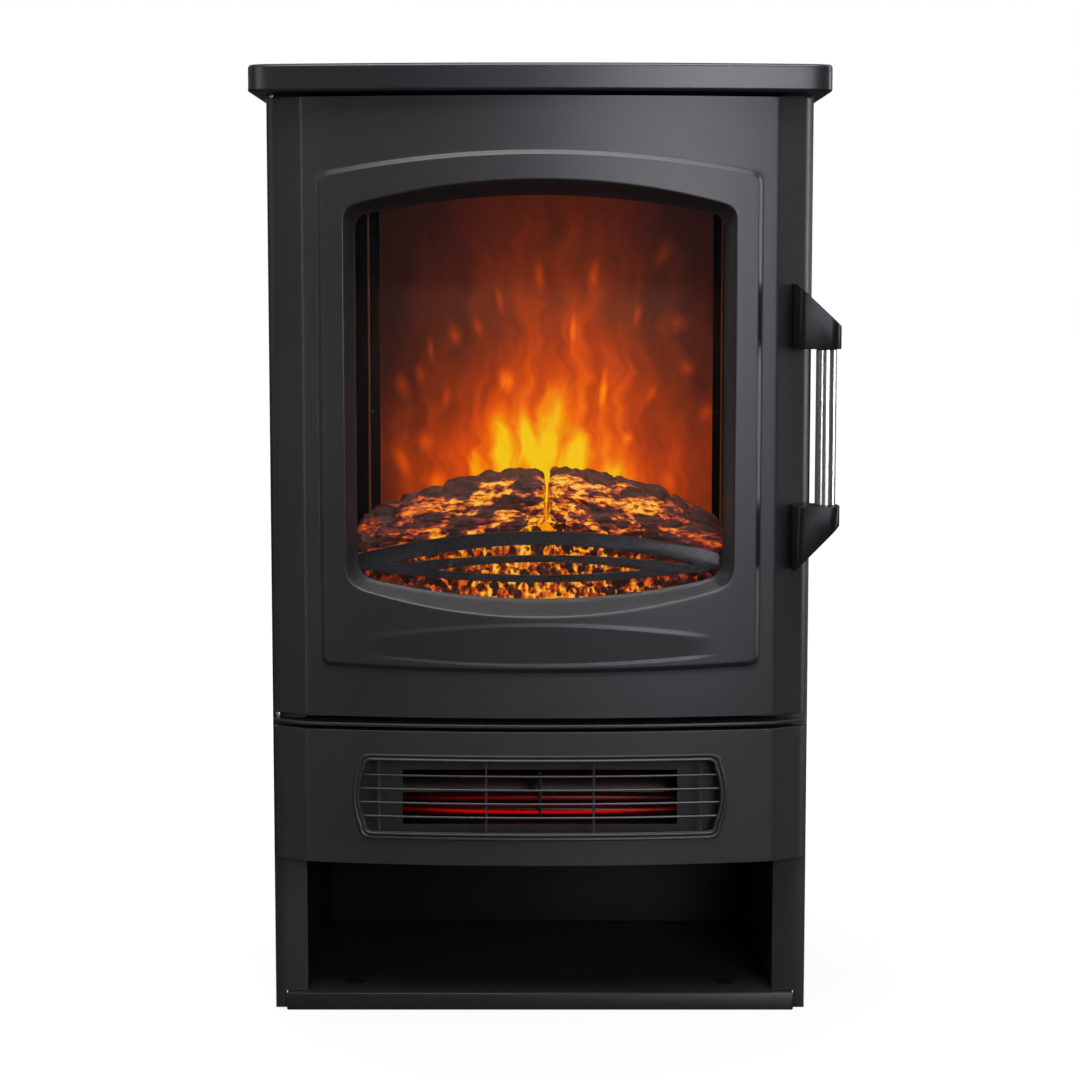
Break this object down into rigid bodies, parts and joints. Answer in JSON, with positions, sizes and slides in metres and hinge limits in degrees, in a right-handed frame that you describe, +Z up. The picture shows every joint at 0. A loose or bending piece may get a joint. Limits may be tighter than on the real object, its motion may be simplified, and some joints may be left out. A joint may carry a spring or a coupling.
{
  "type": "electric fireplace",
  "caption": "Free-standing electric stove fireplace: hinged bowed door with arched window, log and flame effect, quartz heater behind a wire grille, open storage niche.",
  "frame": {"origin": "centre of the base board's underside, midway between its side edges and on the cabinet's centre line", "axes": "+X to the right seen from the front, +Y towards the wall, +Z up"},
  "size_m": [0.519, 0.3177, 0.85],
  "materials": {
    "powder_coat": "fine anthracite powder coat, satin",
    "top_board": "fibreboard slab painted anthracite, satin",
    "base_board": "fibreboard painted black, matte",
    "door_moulding": "heat resistant moulding painted anthracite, satin",
    "dark_sheet": "matte black",
    "black_plastic": "matte black",
    "black_wire": "black enamel",
    "bright_steel": "polished",
    "zinc_steel": "zinc plated",
    "window_glass": "clear, smoke tinted",
    "quartz_glass": "glowing red quartz tube",
    "ceramic": "unglazed",
    "ember_resin": "moulded translucent resin, lit from below",
    "log_resin": "moulded resin painted as charred wood",
    "flame_screen": "translucent acrylic lit from behind",
    "circuit_board": "green laminate",
    "reflector": "bright rolled"
  },
  "bodies": {
    "cabinet": {"top_plate": "top_board", "base_board": "base_board", "side_panel_left": "powder_coat", "side_panel_right": "powder_coat", "rear_panel": "powder_coat", "niche_liner": "dark_sheet", "niche_back_wall": "dark_sheet", "mid_rail": "powder_coat", "heater_fascia": "powder_coat", "heater_bezel": "powder_coat", "heater_grille": "black_wire", "heater_baffle": "dark_sheet", "heater_reflector": "reflector", "quartz_tube_upper": "quartz_glass", "quartz_tube_lower": "quartz_glass", "tube_holder_left": "ceramic", "tube_holder_right": "ceramic", "tube_support": "zinc_steel", "firebox_wall_left": "dark_sheet", "firebox_wall_right": "dark_sheet", "firebox_ceiling": "dark_sheet", "firebox_floor": "dark_sheet", "flame_screen": "flame_screen", "screen_clamp_left": "dark_sheet", "screen_clamp_right": "dark_sheet", "log_left": "log_resin", "log_right": "log_resin", "log_front_left": "log_resin", "log_front_right": "log_resin", "ember_bed": "ember_resin", "fire_grate": "black_wire", "ember_light_board": "circuit_board", "flame_light_board": "circuit_board", "flame_motor": "zinc_steel", "motor_bracket": "zinc_steel", "spinner_bush_left": "black_plastic", "spinner_bush_right": "black_plastic", "control_panel": "black_plastic", "thermostat_body": "zinc_steel", "power_board": "circuit_board", "thermal_cutout": "ceramic", "cable_gland": "black_plastic", "floor_cap_left": "black_plastic", "floor_cap_right": "black_plastic", "hinge_pin_upper": "zinc_steel", "hinge_pin_lower": "zinc_steel", "door_magnet": "black_plastic"},
    "door": {"door_fascia": "door_moulding", "window_glass": "window_glass", "glass_retainer_left": "zinc_steel", "glass_retainer_right": "zinc_steel", "handle_bracket_upper": "black_plastic", "handle_bracket_lower": "black_plastic", "handle_bar": "bright_steel", "strike_plate": "zinc_steel"},
    "spinner": {"flame_spinner": "zinc_steel"},
    "rocker_flame": {"rocker_flame": "black_plastic"},
    "rocker_low_heat": {"rocker_low_heat": "black_plastic"},
    "rocker_high_heat": {"rocker_high_heat": "black_plastic"},
    "thermostat_knob": {"thermostat_knob": "black_plastic"}
  },
  "joints": [
    {"name": "door_hinge", "type": "hinge", "parent": "cabinet", "child": "door", "pos_m": [-0.236, -0.1298, 0.55], "axis": [0, 0, -1], "range_deg": [0, 105]},
    {"name": "spinner_turn", "type": "hinge", "parent": "cabinet", "child": "spinner", "pos_m": [0, -0.02, 0.42], "axis": [1, 0, 0], "continuous": true},
    {"name": "rocker_flame_press", "type": "hinge", "parent": "cabinet", "child": "rocker_flame", "pos_m": [0.03, -0.121, 0.322], "axis": [-1, 0, 0], "range_deg": [0, 16]},
    {"name": "rocker_low_heat_press", "type": "hinge", "parent": "cabinet", "child": "rocker_low_heat", "pos_m": [0.056, -0.121, 0.322], "axis": [-1, 0, 0], "range_deg": [0, 16]},
    {"name": "rocker_high_heat_press", "type": "hinge", "parent": "cabinet", "child": "rocker_high_heat", "pos_m": [0.082, -0.121, 0.322], "axis": [-1, 0, 0], "range_deg": [0, 16]},
    {"name": "thermostat_turn", "type": "hinge", "parent": "cabinet", "child": "thermostat_knob", "pos_m": [-0.06, -0.133, 0.322], "axis": [0, 1, 0], "range_deg": [0, 270]}
  ]
}
